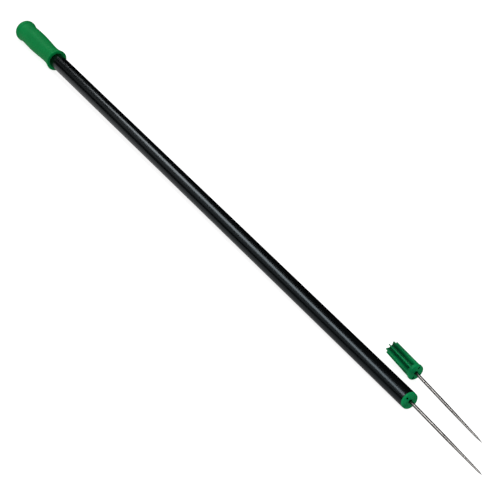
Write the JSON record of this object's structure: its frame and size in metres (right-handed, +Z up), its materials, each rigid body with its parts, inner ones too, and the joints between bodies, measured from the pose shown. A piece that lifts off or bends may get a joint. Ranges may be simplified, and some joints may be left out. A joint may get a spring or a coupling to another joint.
{
  "type": "litter pick-up stick",
  "caption": "Litter pick-up stick: straight black tube with a moulded green hand grip and a push-in ribbed plug holding a steel spike, with a spare spiked plug beside it",
  "frame": {"origin": "middle of the footprint on the surface that the stick and the spare lie on", "axes": "+X runs along the stick from the grip to the spike, +Z is up, and +Y points from the stick to the spare"},
  "size_m": [1.1604, 0.1008, 0.0335],
  "materials": {
    "tube": "glossy black coating on steel tube",
    "grip": "satin green moulded vinyl",
    "plug": "satin green moulded plastic",
    "spike": "ground steel rod, darkened by handling"
  },
  "bodies": {
    "stick": {"tube": "tube", "grip": "grip"},
    "fitted_tip": {"fitted_plug": "plug", "fitted_spike": "spike"},
    "spare_tip": {"spare_plug": "plug", "spare_spike": "spike"}
  },
  "joints": [
    {"name": "tip_pull", "type": "slide", "parent": "stick", "child": "fitted_tip", "axis": [1, 0, -0.0057], "range_m": [0, 0.06]},
    {"name": "spare_slide", "type": "slide", "parent": "stick", "child": "spare_tip", "axis": [0, 1, 0], "range_m": [0, 0.08]}
  ]
}
